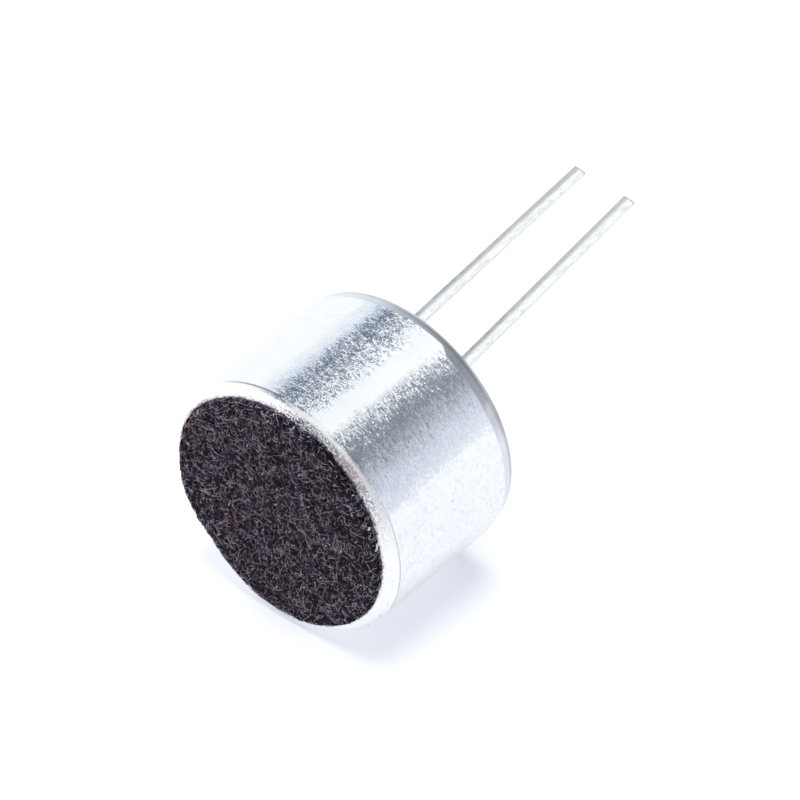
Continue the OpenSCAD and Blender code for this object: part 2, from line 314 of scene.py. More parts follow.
def add_floor():
    half = FLOOR_SIZE / 2
    mesh = bpy.data.meshes.new("floor")
    corners = [(x * half, y * half, FLOOR_Z) for x, y in FLOOR_CORNERS]
    mesh.from_pydata(corners, [], [tuple(range(len(corners)))])
    floor = bpy.data.objects.new("floor", mesh)
    bpy.context.scene.collection.objects.link(floor)
    material = bpy.data.materials.new("floor")
    material.use_nodes = True
    tree = material.node_tree
    tree.nodes.clear()
    path = add(tree, "ShaderNodeLightPath").outputs
    direct = math_node(tree, "ADD", path["Is Camera Ray"], path["Is Transmission Ray"])
    reflected = floor_surface(tree, *FLOOR_REFLECTED, path["Is Glossy Ray"])
    seen = floor_surface(tree, *FLOOR_SEEN, 1.0)
    either = add(tree, "ShaderNodeMixShader", {0: direct, 1: reflected, 2: seen})
    add(tree, "ShaderNodeOutputMaterial", {"Surface": either.outputs[0]})
    material.cycles.emission_sampling = "NONE"
    mesh.materials.append(material)


def add_world():
    """The dome lights matt surfaces, the tent shows in reflections and the camera sees white."""
    world = bpy.data.worlds.new("studio")
    bpy.context.scene.world = world
    world.use_nodes = True
    world.cycles.sampling_method = "NONE"
    tree = world.node_tree
    tree.nodes.clear()
    direction = add(tree, "ShaderNodeTexCoord").outputs["Generated"]
    axes = add(tree, "ShaderNodeSeparateXYZ", {0: direction}).outputs
    turn = math_node(tree, "ARCTAN2", axes["X"], axes["Z"])
    tent, tent_behind = (around_axis(tree, turn, stops) for stops in (TENT, TENT_BEHIND))
    behind = map_range(tree, axes["Y"], OPEN_FROM, OPEN_TO, smooth=True)
    tent = mix_colour(tree, behind, tent, tent_behind)
    sides = {0: direction, 1: DOME_TOWARDS}
    towards = add(tree, "ShaderNodeVectorMath", sides, operation="DOT_PRODUCT").outputs["Value"]
    dome_share = map_range(tree, towards, -DOME_COSINE, DOME_COSINE)
    dome = ramp(tree, dome_share, [(0, (DOME_DIM,) * 3), (1, (DOME_BRIGHT,) * 3)])
    path = add(tree, "ShaderNodeLightPath").outputs
    clear_view = math_node(tree, "ADD", path["Is Camera Ray"], path["Is Transmission Ray"])
    light = mix_colour(tree, path["Is Glossy Ray"], dome, tent)
    light = mix_colour(tree, clear_view, light, (1, 1, 1))
    background = add(tree, "ShaderNodeBackground", {"Color": light})
    add(tree, "ShaderNodeOutputWorld", {"Surface": background.outputs[0]})


def add_lamp():
    data = bpy.data.lights.new("softbox", "SUN")
    data.energy = LAMP_LEVEL * math.pi
    data.angle = LAMP_SPREAD
    lamp = bpy.data.objects.new("softbox", data)
    lamp.rotation_euler = (LAMP_TIP, LAMP_TURN, 0)
    lamp.visible_glossy = False
    bpy.context.scene.collection.objects.link(lamp)


# Can metal. Lists of stops run round the can from overhead towards +X, in degrees.

# The metal's grain, patches, waves and smudges, and the softness of a border between two finishes
GRAIN = 0.07 * MM
PATCH = 0.5 * MM
WAVE = 1.6 * MM
WAVE_HEIGHT = 0.04 * MM
SMUDGE = 0.18 * MM
BORDER = 0.03 * MM
ALUMINIUM = ((0.85, 0.87, 0.89), (0.9, 0.91, 0.92))
WALL_ROUGHNESS = 0.1
WORKED_ROUGHNESS = 0.2

# Facets that sparkle: their size and tilt, the tilt and scale of those stretched round the can, and how
# strong all of them are by angle, by patch, from the front to the crease, and on the crimp
FACET = 0.045 * MM
FACET_TILT = (0.6, 0.2, 0.6)
STREAK_TILT = (0.45, 0.12, 0.45)
STREAK_SCALE = (0.25, 1, 1)
SPARKLE = [
    (-180, 0.4), (-30, 0.35), (-9, 0.25), (-3, 1.0), (5, 1.9), (12, 1.0), (17, 0.25), (23, 0.25),
    (28, 0.95), (36, 0.75), (50, 0.6), (62, 0.35), (180, 0.35),
]
SPARKLE_BY_PATCH = (0.6, 1.3)
SPARKLE_ALONG = (1.1, 0.85)
CRIMP_SPARKLE = 0.1

# The crimp: where the wall leans in and by how much, its roll, the radii where its lip begins, its tones,
# of which the roll's is painted shade, the painted shade by angle, and how many millimetres later its
# finish begins
CREASE = -0.8 * MM
CREASE_BORDER = 0.01 * MM
CRIMP_LEAN = math.sin(math.radians(15))
ROLL_Y = CREASE / 2
ROLL_BORDER = 0.1 * MM
LIP_FROM = 4.5 * MM
LIP_TO = 4.3 * MM
LEANING_TONE = (0.86, 0.89, 0.95)
ROLL_PAINTED_SHADE = (0.5, 0.51, 0.53)
LIP_TONE = (0.75, 0.76, 0.78)
CRIMP_PAINTED_SHADE = [
    (-180, 0.8), (-18, 0.8), (-10, 0.92), (0, 0.9), (12, 0.86), (26, 0.8), (44, 0.8), (52, 0.72),
    (60, 0.61), (66, 0.72), (71, 0.86), (78, 0.8), (180, 0.8),
]
LATE_CREASE = [
    (-180, 0.0), (-25, 0.0), (-8, 0.08), (4, 0.22), (23, 0.28), (28, 0.03), (180, 0.0),
]
# A shallow dent by the crease
DENT_ARC = CAN_R * math.radians(18)
DENT_WIDTH = 2.2 * MM
DENT_LENGTH = 1.5 * MM

# The wall: where and how much a painted sheen brightens it rearward, smudges that grow between two turns
# in radians, and one dark speck
SHEEN_FROM = CAN_FRONT + 1.2 * MM
SHEEN_TO = CREASE - 1.5 * MM
SHEEN_TONE = (0.98, 0.99, 1.0)
SHEEN_BY_ANGLE = [
    (-180, 0.0), (-14, 0.0), (-5, 1.0), (8, 1.0), (16, 0.3), (26, 1.0), (54, 1.0), (66, 0.15),
    (180, 0.15),
]
SMUDGE_TURN = (0.6, 1.4)
SMUDGE_SHARE = (0.05, 0.6)
SMUDGE_STEP = (0.5, 0.7)
SMUDGE_TONE = (0.66, 0.68, 0.74)
SPECK_ARC = CAN_R * math.radians(77)
SPECK_Y = CAN_FRONT + 3.02 * MM
SPECK_R = 0.035 * MM
SPECK_TONE = (0.2, 0.2, 0.22)

# The front: where its pale finish ends raggedly, a painted grey reflection on it, a painted brown
# reflection, the rim outside them, which is rubbed bright where the grey reflection is painted, and
# painted shade in a line where the corner meets the wall
FRONT_END = (CAN_FRONT + 0.18 * MM, CAN_FRONT + 0.08 * MM)
FRONT_TONE = (0.97, 0.97, 0.98)
GRAIN_STEP = (0.4, 0.6)
GREY_REFLECTION_BY_GRAIN = (1.5, 0.3)
GREY_REFLECTION_TONE = (0.25, 0.25, 0.29)
FRONT_GREY_REFLECTION = [
    (-180, 0.0), (0, 0.03), (10, 0.75), (16, 1.0), (40, 1.0), (50, 0.8), (60, 0.45), (72, 0.2),
    (82, 0.06), (125, 0.06), (150, 0.0), (180, 0.0),
]
BROWN_REFLECTION_TURN = math.radians(39)
BROWN_REFLECTION_REACH = math.radians(15)
BROWN_REFLECTION_BY_GRAIN = (1.2, 0.4)
BROWN_REFLECTION_TONE = (0.38, 0.3, 0.32)
RIM = (CAN_R - 0.17 * MM, CAN_R - 0.08 * MM)
RIM_REFLECTION_SHARE = 0.15
RUBBED_AT_GREY_REFLECTION = 0.6
RUBBED_TONE = (0.97, 0.99, 1.0)
RUBBED_METALLIC = 0.15
CORNER_R = 0.2 * MM
LINE_TURN = (math.radians(-30), math.radians(10))
LINE_WIDTH = (0.075 * MM, 0.045 * MM)
EDGE_SHADE_TONE = (0.16, 0.17, 0.16)
EDGE_SHADE_BY_ANGLE = [
    (-180, 0.0), (-38, 0.0), (-30, 0.6), (-18, 0.95), (-9, 0.9), (-1, 0.2), (54, 0.1), (66, 0.45),
    (112, 0.55), (140, 0.0), (180, 0.0),
]


def can_places(tree, place):
    """Sockets that tell where a point is on the can, and whether it is on the front or the crimp."""
    axes = add(tree, "ShaderNodeSeparateXYZ", {0: place}).outputs
    along = axes["Y"]
    turn = math_node(tree, "ARCTAN2", axes["X"], axes["Z"])
    across = vector_node(tree, "MULTIPLY", place, (1, 0, 1))
    grain = noise(tree, place, GRAIN)
    past_front = math_node(tree, "SUBTRACT", along, by_noise(tree, grain, *FRONT_END))
    past_crease = math_node(tree, "SUBTRACT", along, CREASE)
    late = product(tree, level_around(tree, turn, LATE_CREASE), MM)
    past_start = math_node(tree, "SUBTRACT", past_crease, late)
    return SimpleNamespace(
        place=place,
        along=along,
        turn=turn,
        arc=product(tree, turn, CAN_R),
        out=add(tree, "ShaderNodeVectorMath", {0: across}, operation="LENGTH").outputs["Value"],
        grain=grain,
        patches=noise(tree, place, PATCH),
        front=map_range(tree, past_front, BORDER, -BORDER),
        leaning=map_range(tree, past_crease, -CREASE_BORDER, CREASE_BORDER),
        crimped=map_range(tree, past_start, -BORDER, BORDER),
    )


def can_relief(tree, at):
    """The metal's normal: gentle waves, a dent, sparkling facets and a crimp that seems to begin late."""
    sparkle = product(
        tree,
        level_around(tree, at.turn, SPARKLE),
        by_noise(tree, at.patches, *SPARKLE_BY_PATCH),
        map_range(tree, at.along, CAN_FRONT, CREASE, *SPARKLE_ALONG),
        between(tree, at.crimped, 1.0, CRIMP_SPARKLE),
    )
    skin = add(tree, "ShaderNodeCombineXYZ", {"X": at.arc, "Y": at.along, "Z": at.out}).outputs[0]
    stretched = vector_node(tree, "MULTIPLY", skin, STREAK_SCALE)
    facets = flakes(tree, at.place, FACET, FACET_TILT)
    facets = vector_node(tree, "ADD", facets, flakes(tree, stretched, FACET, STREAK_TILT))
    facets = vector_node(tree, "MULTIPLY", facets, sparkle)
    dent = product(
        tree, bell(tree, at.arc, DENT_ARC, DENT_WIDTH), bell(tree, at.along, CREASE, DENT_LENGTH)
    )
    waves = math_node(tree, "SUBTRACT", noise(tree, at.place, WAVE), dent)
    both = math_node(tree, "MINIMUM", at.leaning, at.crimped)
    straight = math_node(tree, "SUBTRACT", at.leaning, both)
    upright = vector_node(tree, "MULTIPLY", straight, (0, -CRIMP_LEAN, 0))
    normal = vector_node(tree, "ADD", bumped(tree, waves, WAVE_HEIGHT), facets)
    normal = vector_node(tree, "ADD", normal, upright)
    return vector_node(tree, "NORMALIZE", normal)


def wall_colour(tree, at):
    """Bare aluminium with a painted sheen that brightens it rearward, with smudges and a speck."""
    colour = noise_ramp(tree, at.patches, *ALUMINIUM)
    # Painted sheen: the colour is lightened rearward, by angle round the can
    painted_sheen = map_range(tree, at.along, SHEEN_FROM, SHEEN_TO)
    painted_sheen = product(tree, painted_sheen, level_around(tree, at.turn, SHEEN_BY_ANGLE))
    colour = mix_colour(tree, painted_sheen, colour, SHEEN_TONE)
    low_side = map_range(tree, at.turn, *SMUDGE_TURN, *SMUDGE_SHARE)
    smudges = map_range(tree, noise(tree, at.place, SMUDGE, detail=3), *SMUDGE_STEP)
    colour = mix_colour(tree, product(tree, low_side, smudges), colour, SMUDGE_TONE)
    speck = product(
        tree, bell(tree, at.arc, SPECK_ARC, SPECK_R), bell(tree, at.along, SPECK_Y, SPECK_R)
    )
    return mix_colour(tree, speck, colour, SPECK_TONE)


def crimp_colour(tree, at):
    """The leaning wall, the roll behind it and the lip on the board, with painted shade on the roll and
    painted shade by angle over all.
    """
    rolled = map_range(tree, at.along, ROLL_Y - ROLL_BORDER, ROLL_Y + ROLL_BORDER)
    # Painted shade: the roll is darkened
    lip = mix_colour(tree, map_range(tree, at.out, LIP_FROM, LIP_TO), ROLL_PAINTED_SHADE, LIP_TONE)
    worked = mix_colour(tree, rolled, LEANING_TONE, lip)
    # Painted shade by angle round the can
    return mix_colour(tree, 1.0, worked, level_around(tree, at.turn, CRIMP_PAINTED_SHADE), "MULTIPLY")


def front_colour(tree, at):
    """The pale front with its painted grey and brown reflections, and how far its rim is rubbed bright."""
    # Painted reflection: film is how strongly a grey reflection is painted on the front, by angle
    film = level_around(tree, at.turn, FRONT_GREY_REFLECTION)
    rim = product(tree, at.front, map_range(tree, at.out, *RIM))
    rubbed = product(tree, rim, map_range(tree, film, 0.0, RUBBED_AT_GREY_REFLECTION))
    inside = between(tree, rim, 1.0, RIM_REFLECTION_SHARE)
    film = product(tree, film, map_range(tree, at.grain, *GRAIN_STEP, *GREY_REFLECTION_BY_GRAIN), inside)
    # Painted reflection: a brown patch, broken up by the grain
    brown_reflection = bell(tree, at.turn, BROWN_REFLECTION_TURN, BROWN_REFLECTION_REACH)
    brown_reflection = product(tree, brown_reflection, map_range(tree, at.grain, *GRAIN_STEP, *BROWN_REFLECTION_BY_GRAIN), inside)
    colour = mix_colour(tree, rubbed, FRONT_TONE, RUBBED_TONE)
    colour = mix_colour(tree, film, colour, GREY_REFLECTION_TONE)
    return mix_colour(tree, brown_reflection, colour, BROWN_REFLECTION_TONE), rubbed


def edge_shade(tree, at):
    """How dark the painted shade line is where the front corner meets the wall."""
    width = map_range(tree, at.turn, *LINE_TURN, *LINE_WIDTH)
    line = bell(tree, at.along, CAN_FRONT + CORNER_R, width)
    return product(tree, line, level_around(tree, at.turn, EDGE_SHADE_BY_ANGLE))


def can_metal():
    """Drawn aluminium with a pale front and a crimped rear."""
    material, tree, shader, place = start_material("can_metal", 1.0)
    at = can_places(tree, place)
    pale, rubbed = front_colour(tree, at)
    colour = mix_colour(tree, at.crimped, wall_colour(tree, at), crimp_colour(tree, at))
    colour = mix_colour(tree, at.front, colour, pale)
    worked = math_node(tree, "MAXIMUM", at.front, at.crimped)
    connect(
        tree,
        shader,
        # Painted shade: a dark line where the front corner meets the wall
        Base_Color=mix_colour(tree, edge_shade(tree, at), colour, EDGE_SHADE_TONE),
        Metallic=between(tree, rubbed, 1.0, RUBBED_METALLIC),
        Roughness=between(tree, worked, WALL_ROUGHNESS, WORKED_ROUGHNESS),
        Normal=can_relief(tree, at),
    )
    return material


# Leads

# The plating's lumps, slow drift and long runs, and the dull cut at the tip
LEAD_LUMP = 0.2 * MM
LEAD_LUMP_HEIGHT = 0.006 * MM
LEAD_DRIFT = 2.5 * MM
LEAD_RUN = 0.12 * MM
RUN_SCALE = (1, 0.35, 1)
CUT_FROM = LEAD_TIP - 0.09 * MM
CUT_TO = LEAD_TIP - 0.05 * MM
# A painted dark reflection along one edge fades in as the X of the surface's normal falls between these.
# That place wanders by the drift and the runs, and from root to tip.
DARK_REFLECTION_FACING = (0.17, 0.07)
DRIFT_WANDER = 0.05
RUN_WANDER = 0.02
TIP_WANDER = (-0.06, 0.01)
# Painted dark reflection, shared by the dull cut tip: shades from root to tip, paler runs, gloss
REFLECTION_AND_CUT_ROOT = (0.33, 0.33, 0.35)
REFLECTION_AND_CUT_TIP = (0.58, 0.58, 0.56)
REFLECTION_AND_CUT_PALE = (0.6, 0.6, 0.58)
PALE_RUNS = (0.35, 0.65)
REFLECTION_AND_CUT_METALLIC = 0.15
REFLECTION_AND_CUT_ROUGHNESS = 0.45
# The bright face, painted shade along the far edge and soft blots between, by the same X and by the runs
TIN_TONE = (0.96, 0.96, 0.95)
TIN_ROUGHNESS = 0.15
SHADE_AND_BLOT_TONE = (0.62, 0.62, 0.59)
FAR_SHADE_FACING = (0.32, 0.42)
FAR_SHADE_RUNS = (0.35, 0.6)
FAR_SHADE_SHARE = (1.0, 0.5)
BLOT_FACING = (0.14, 0.3)
BLOT_RUNS = (0.42, 0.68)
BLOT_SHARE = (0.0, 0.6)


def tinned_lead():
    """Bright tin plate with a painted dark reflection along one edge, painted shade along the other and a
    dull cut tip.
    """
    material, tree, shader, place = start_material("tinned_lead", 1.0)
    along = add(tree, "ShaderNodeSeparateXYZ", {0: place}).outputs["Y"]
    normal = add(tree, "ShaderNodeNewGeometry").outputs["Normal"]
    facing = add(tree, "ShaderNodeSeparateXYZ", {0: normal}).outputs["X"]
    drift = noise(tree, place, LEAD_DRIFT)
    runs = noise(tree, vector_node(tree, "MULTIPLY", place, RUN_SCALE), LEAD_RUN)
    wander = by_noise(tree, drift, -DRIFT_WANDER, DRIFT_WANDER)
    wander = math_node(tree, "ADD", wander, by_noise(tree, runs, -RUN_WANDER, RUN_WANDER))
    wander = math_node(tree, "ADD", wander, map_range(tree, along, 0.0, LEAD_TIP, *TIP_WANDER))
    # Painted dark reflection along one edge by the normal's X, and the dull cut at the tip
    reflection_and_cut = map_range(tree, math_node(tree, "SUBTRACT", facing, wander), *DARK_REFLECTION_FACING, smooth=True)
    reflection_and_cut = math_node(tree, "MAXIMUM", reflection_and_cut, map_range(tree, along, CUT_FROM, CUT_TO))
    edge = mix_colour(tree, map_range(tree, along, 0.0, LEAD_TIP), REFLECTION_AND_CUT_ROOT, REFLECTION_AND_CUT_TIP)
    edge = mix_colour(tree, map_range(tree, runs, *PALE_RUNS), edge, REFLECTION_AND_CUT_PALE)
    # Painted shade along the far edge, broken up by the runs
    far_shade = map_range(tree, facing, *FAR_SHADE_FACING)
    far_shade = product(tree, far_shade, map_range(tree, runs, *FAR_SHADE_RUNS, *FAR_SHADE_SHARE))
    blots = map_range(tree, runs, *BLOT_RUNS)
    blots = product(tree, blots, map_range(tree, facing, *BLOT_FACING, *BLOT_SHARE))
    marks = math_node(tree, "MAXIMUM", far_shade, blots)
    face = mix_colour(tree, marks, TIN_TONE, SHADE_AND_BLOT_TONE)
    connect(
        tree,
        shader,
        Base_Color=mix_colour(tree, reflection_and_cut, face, edge),
        Metallic=between(tree, reflection_and_cut, 1.0, REFLECTION_AND_CUT_METALLIC),
        Roughness=between(tree, reflection_and_cut, TIN_ROUGHNESS, REFLECTION_AND_CUT_ROUGHNESS),
        Normal=bumped(tree, noise(tree, place, LEAD_LUMP, detail=3), LEAD_LUMP_HEIGHT),
    )
    return material


# Board

BOARD_PATCH = 0.7 * MM
BOARD_GREEN = ((0.012, 0.1, 0.045), (0.02, 0.15, 0.065))
BOARD_ROUGHNESS = 0.32
COAT_WEIGHT = 0.4
COAT_ROUGHNESS = 0.12
WEAVE_PITCH = 1.1 * MM
WEAVE_WANDER = 0.6
WEAVE_HEIGHT = 0.004 * MM


def board_coat():
    """Green coated laminate with a faint glass weave."""
    material, tree, shader, place = start_material("board")
    tone = noise(tree, place, BOARD_PATCH, detail=3)
    threads = {"Vector": place, "Scale": 1 / WEAVE_PITCH, "Distortion": WEAVE_WANDER}
    warp, weft = (
        add(tree, "ShaderNodeTexWave", threads, bands_direction=axis).outputs["Fac"] for axis in "XZ"
    )
    connect(
        tree,
        shader,
        Base_Color=noise_ramp(tree, tone, *BOARD_GREEN),
        Normal=bumped(tree, math_node(tree, "ADD", warp, weft), WEAVE_HEIGHT),
    )
    shader.inputs["Roughness"].default_value = BOARD_ROUGHNESS
    shader.inputs["Coat Weight"].default_value = COAT_WEIGHT
    shader.inputs["Coat Roughness"].default_value = COAT_ROUGHNESS
    return material


# Plainer finishes, by slot: darker and lighter colour, how metallic, range of roughness, and the size
# and height of the grain in millimetres

MOTTLED = {
    "adhesive": ((0.5, 0.4, 0.33), (0.68, 0.58, 0.5), 0, (0.4, 0.6), 0.1, 0.004),
    "brass": ((0.62, 0.46, 0.2), (0.76, 0.6, 0.32), 1, (0.22, 0.34), 0.08, 0.004),
    "film": ((0.72, 0.74, 0.77), (0.84, 0.85, 0.88), 0.8, (0.12, 0.2), 0.4, 0.002),
    "spacer_film": ((0.8, 0.8, 0.74), (0.88, 0.88, 0.84), 0, (0.35, 0.5), 0.2, 0.002),
    "chamber_plastic": ((0.78, 0.78, 0.74), (0.86, 0.86, 0.83), 0, (0.4, 0.55), 0.1, 0.003),
    "copper": ((0.62, 0.33, 0.2), (0.8, 0.48, 0.32), 1, (0.26, 0.42), 0.07, 0.006),
    "fet_plastic": ((0.018, 0.018, 0.02), (0.035, 0.035, 0.038), 0, (0.45, 0.6), 0.06, 0.006),
    "tinned_leg": ((0.68, 0.68, 0.67), (0.8, 0.8, 0.79), 1, (0.24, 0.36), 0.06, 0.004),
    "solder": ((0.62, 0.62, 0.62), (0.78, 0.78, 0.78), 1, (0.16, 0.34), 0.12, 0.012),
}
# The same for the white lint on the felt
LINT_FINISH = ((0.85, 0.85, 0.86), (1.0, 1.0, 1.0), 0, (0.5, 0.7), 0.1, 0.002)
# How much larger the patches of colour are than the grain
PATCH_BY_GRAIN = 4


def mottled(name, dark, light, metallic, roughness, grain, height):
    """A surface whose colour varies in patches, and whose gloss and relief vary with a fine grain."""
    material, tree, shader, place = start_material(name, metallic)
    coarse = noise(tree, place, PATCH_BY_GRAIN * grain * MM, detail=3)
    fine = noise(tree, place, grain * MM)
    connect(
        tree,
        shader,
        Base_Color=noise_ramp(tree, coarse, dark, light),
        Roughness=by_noise(tree, fine, *roughness),
        Normal=bumped(tree, fine, height * MM),
    )
    return material


# Felt finishes

FELT_GRAIN = 0.09 * MM
FELT_GRAIN_HEIGHT = 0.03 * MM
FELT_DEEP = [(0.35, (0.005, 0.004, 0.006)), (0.7, (0.022, 0.018, 0.025))]
FELT_ROUGHNESS = 0.9
FELT_SPECULAR = 0.1
FIBRE_ROUGHNESS = 0.6
# Faint patches of two tints
TINT_PATCH = 0.95 * MM
TINT_STEP = (0.54, 0.68)
TINT_STRENGTH = 0.7
RED_TINT = (1.12, 0.89, 0.82)
OLIVE_TINT = (1.0, 0.94, 0.84)
OLIVE_SHIFT = (1, 2, 3)
# Darkest and lightest shade of each kind of fibre, and the shade of a rare glint
FIBRE_TONES = {
    "dark": ((0.005, 0.0035, 0.006), (0.03, 0.022, 0.036)),
    "grey": ((0.066, 0.05, 0.081), (0.29, 0.226, 0.338)),
    "light": ((0.48, 0.41, 0.55), (0.94, 0.87, 1.0), (1.0, 1.0, 1.0)),
}
# Where the lightest shade and the glint sit among all fibres, as a share
LIGHTEST_AT = 0.94
GLINT_AT = 0.97


def felt_tint(tree, place, colour):
    """A colour with the faint red and olive patches of dyed felt."""
    elsewhere = vector_node(tree, "ADD", place, OLIVE_SHIFT)
    for spot, tint in ((place, RED_TINT), (elsewhere, OLIVE_TINT)):
        share = map_range(tree, noise(tree, spot, TINT_PATCH), *TINT_STEP, 0, TINT_STRENGTH)
        colour = mix_colour(tree, share, colour, tint, "MULTIPLY")
    return colour


def felt_base():
    """The shaded depth of the felt under its loose fibres."""
    material, tree, shader, place = start_material("felt")
    tone = noise(tree, place, FELT_GRAIN, detail=3)
    connect(
        tree,
        shader,
        Base_Color=felt_tint(tree, place, ramp(tree, tone, FELT_DEEP)),
        Normal=bumped(tree, tone, FELT_GRAIN_HEIGHT),
    )
    shader.inputs["Roughness"].default_value = FELT_ROUGHNESS
    shader.inputs["Specular IOR Level"].default_value = FELT_SPECULAR
    return material


def fibre_material(name, dark, light, glint=None):
    """Spun fibres whose shade changes from one to the next, with a rare glint."""
    material, tree, shader, place = start_material(name)
    strand = add(tree, "ShaderNodeNewGeometry").outputs["Random Per Island"]
    stops = [(0.0, dark), (LIGHTEST_AT, light)] + ([(GLINT_AT, glint)] if glint else [])
    connect(tree, shader, Base_Color=felt_tint(tree, place, ramp(tree, strand, stops)))
    shader.inputs["Roughness"].default_value = FIBRE_ROUGHNESS
    shader.inputs["Specular IOR Level"].default_value = FELT_SPECULAR
    return material


def all_materials():
    """The finish of each material slot."""
    by_slot = {slot: mottled(slot, *finish) for slot, finish in MOTTLED.items()}
    by_slot["can_metal"] = can_metal()
    by_slot["tinned_lead"] = tinned_lead()
    by_slot["board"] = board_coat()
    by_slot["felt"] = felt_base()
    return by_slot


# Felt pad

FELT_SEED = 7
FELT_RINGS = 70
FELT_STEPS = 420
FELT_RELIEF = 0.05 * MM
FELT_FRAY = 0.022 * MM
FRAY_WAVES = range(20, 150, 3)
FELT_EDGE = 0.11 * MM
FELT_SKIRT = 0.2 * MM
FELT_LIFT = 0.003 * MM
# How far the felt's hand-cut edge strays from its circle: degrees from overhead towards +X, millimetres
FELT_STRAY = [
    (-180, 0.07), (-165, 0.03), (-150, -0.09), (-136, -0.2), (-122, -0.07), (-104, 0.0), (-90, -0.04),
    (-58, 0.07), (-40, 0.05), (-24, 0.05), (0, 0.03), (12, 0.0), (30, 0.0), (40, -0.05), (48, -0.1),
    (60, -0.07), (76, -0.14), (90, -0.09), (104, -0.07), (120, 0.0), (150, 0.04), (170, 0.1),
    (180, 0.07),
]


def wavy(count, waves, generator):
    """A closed random curve of that many points, about -1 to 1, from equal waves."""
    turn = np.linspace(0, 2 * np.pi, count, endpoint=False)
    total = np.zeros(count)
    for wave in waves:
        total += generator.normal() * np.sin(wave * turn + generator.uniform(0, 2 * np.pi))
    return total / math.sqrt(len(waves))


def felt_limit(turn):
    """The felt's radius at an angle: a circle with a hand-cut edge."""
    angles, strays = zip(*FELT_STRAY)
    around = (np.degrees(turn) + 180) % 360 - 180
    return FELT_R + np.interp(around, angles, strays) * MM


def lathe_faces(rings, steps):
    """The quads between rings of points, and the fans that close the first and the last ring."""
    faces = []
    last = (rings - 1) * steps
    for step in range(steps):
        following = (step + 1) % steps
        for ring in range(0, last, steps):
            a, b = ring + step, ring + following
            faces.append((a, b, b + steps, a + steps))
        faces.append((last + steps, following, step))
        faces.append((last + steps + 1, last + step, last + following))
    return faces


def add_piece(name, points, faces, material):
    """A smooth mesh that rides on the part and wears the material it is given."""
    mesh = bpy.data.meshes.new(name)
    mesh.from_pydata(points, [], faces)
    mesh.shade_smooth()
    mesh.materials.append(material)
    piece = bpy.data.objects.new(name, mesh)
    bpy.context.scene.collection.objects.link(piece)
    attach(piece, BODY)
    return piece


def felt_pad(material):
    """A closed pad with a lumpy front and a frayed edge that rounds down onto the can."""
    generator = np.random.default_rng(FELT_SEED)
    turn = np.linspace(0, 2 * np.pi, FELT_STEPS, endpoint=False)
    outline = felt_limit(turn) + FELT_FRAY * wavy(FELT_STEPS, FRAY_WAVES, generator)
    front = FELT_FRONT + FELT_RELIEF / 2
    rings = []
    for ring in range(1, FELT_RINGS + 1):
        radius = outline * ring / FELT_RINGS
        lumps = generator.uniform(-1, 1, FELT_STEPS) * FELT_RELIEF / 2
        into_edge = np.clip(1 - (outline - radius) / FELT_EDGE, 0, 1)
        rings.append((radius, front + lumps + FELT_EDGE * (1 - np.sqrt(1 - into_edge**2))))
    rings.append((outline, np.full(FELT_STEPS, CAN_FRONT - FELT_LIFT)))
    rings.append((outline - FELT_SKIRT, np.full(FELT_STEPS, FELT_BACK)))
    points = []
    for radius, depth in rings:
        points += zip(FELT_X + radius * np.sin(turn), depth, FELT_Z + radius * np.cos(turn))
    points += [(FELT_X, front, FELT_Z), (FELT_X, FELT_BACK, FELT_Z)]
    points = [tuple(map(float, point)) for point in points]
    pad = add_piece("felt_pad", points, lathe_faces(len(rings), FELT_STEPS), material)
    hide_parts("dust_felt")


# Loose fibres on the felt

FIBRE_POINTS = 7
FIBRE_SIDES = 3
FIBRE_SINK = 0.02 * MM
# Spread of a fibre's curl in radians, and the share of it that each point turns by
FIBRE_TURN = 0.07
CURL_SHARE = 0.5
# How far the felt's surface runs on past its outline, over the rounded edge and down its side
FELT_SIDE = CAN_FRONT - FELT_LIFT - FELT_FRONT - FELT_EDGE
FELT_WRAP = FELT_EDGE * (math.pi / 2 - 1) + FELT_SIDE
# Each piece of fibres: count, seed, and in millimetres the ranges of length and rise and the width
FIBRES_DARK = (4800, 11, (0.3, 1.0), (0.03, 0.06), 0.028)
FIBRES_GREY = (4200, 12, (0.3, 1.3), (0.03, 0.07), 0.0095)
FIBRES_LIGHT = (3300, 13, (0.04, 0.36), (0.05, 0.09), 0.0145)
FIBRES_LONG = (300, 16, (0.5, 1.2), (0.06, 0.1), 0.011)
SPECKS = (45, 15, (0.06, 0.12), (0.1, 0.11), 0.038)


def on_felt(x, z, rise):
    """The point above a place on the felt's front, which runs on over the rounded edge, and its normal."""
    limit = float(felt_limit(math.atan2(x, z)))
    outward = Vector((x, 0, z)).normalized()
    reach = min(math.hypot(x, z), limit + FELT_WRAP)
    past = max(reach - (limit - FELT_EDGE), 0.0)
    bend = min(past / FELT_EDGE, math.pi / 2)
    radius = min(reach, limit - FELT_EDGE) + FELT_EDGE * math.sin(bend)
    depth = FELT_FRONT + FELT_EDGE * (1 - math.cos(bend)) + past - FELT_EDGE * bend
    normal = outward * math.sin(bend) - Vector((0, math.cos(bend), 0))
    return Vector((FELT_X, depth, FELT_Z)) + outward * radius + normal * rise, normal


def fibre_path(generator, length, height):
    """The points and normals of a curly fibre that lies on the felt and dips in at both ends."""
    radius = (FELT_R + FELT_WRAP) * math.sqrt(generator.random())
    around = generator.uniform(0, 2 * math.pi)
    x, z = radius * math.sin(around), radius * math.cos(around)
    heading = generator.uniform(0, 2 * math.pi)
    curl = generator.gauss(0, FIBRE_TURN)
    path = []
    for index in range(FIBRE_POINTS):
        rise = math.sin(math.pi * index / (FIBRE_POINTS - 1)) * height - FIBRE_SINK
        path.append(on_felt(x, z, rise))
        curl += generator.gauss(0, FIBRE_TURN)
        heading += curl * CURL_SHARE
        x += math.cos(heading) * length / FIBRE_POINTS
        z += math.sin(heading) * length / FIBRE_POINTS
    return path


